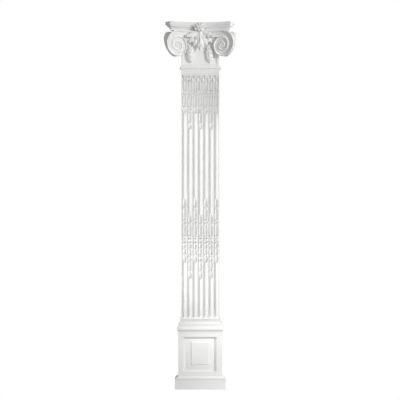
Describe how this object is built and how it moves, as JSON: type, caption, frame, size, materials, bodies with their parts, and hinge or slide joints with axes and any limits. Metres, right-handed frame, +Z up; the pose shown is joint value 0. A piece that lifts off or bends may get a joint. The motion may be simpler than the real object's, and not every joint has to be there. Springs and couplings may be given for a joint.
{
  "type": "pilaster",
  "caption": "White wall pilaster: fluted shaft with husk chains in its flutes, panelled pedestal and an Ionic capital with volutes turned to the corners.",
  "frame": {"origin": "middle of the plinth's underside; the wall plane is 54.5 mm behind it", "axes": "+Z up along the shaft, the front looks along -Y, the flat back looks along +Y, +X to the right seen from the front"},
  "size_m": [0.5762, 0.1954, 2.9156],
  "materials": {
    "casting": "rigid moulded foam with a smooth white primed face, matte to eggshell"
  },
  "bodies": {
    "root": {"pedestal": "casting", "shaft": "casting", "capital": "casting"}
  },
  "joints": []
}
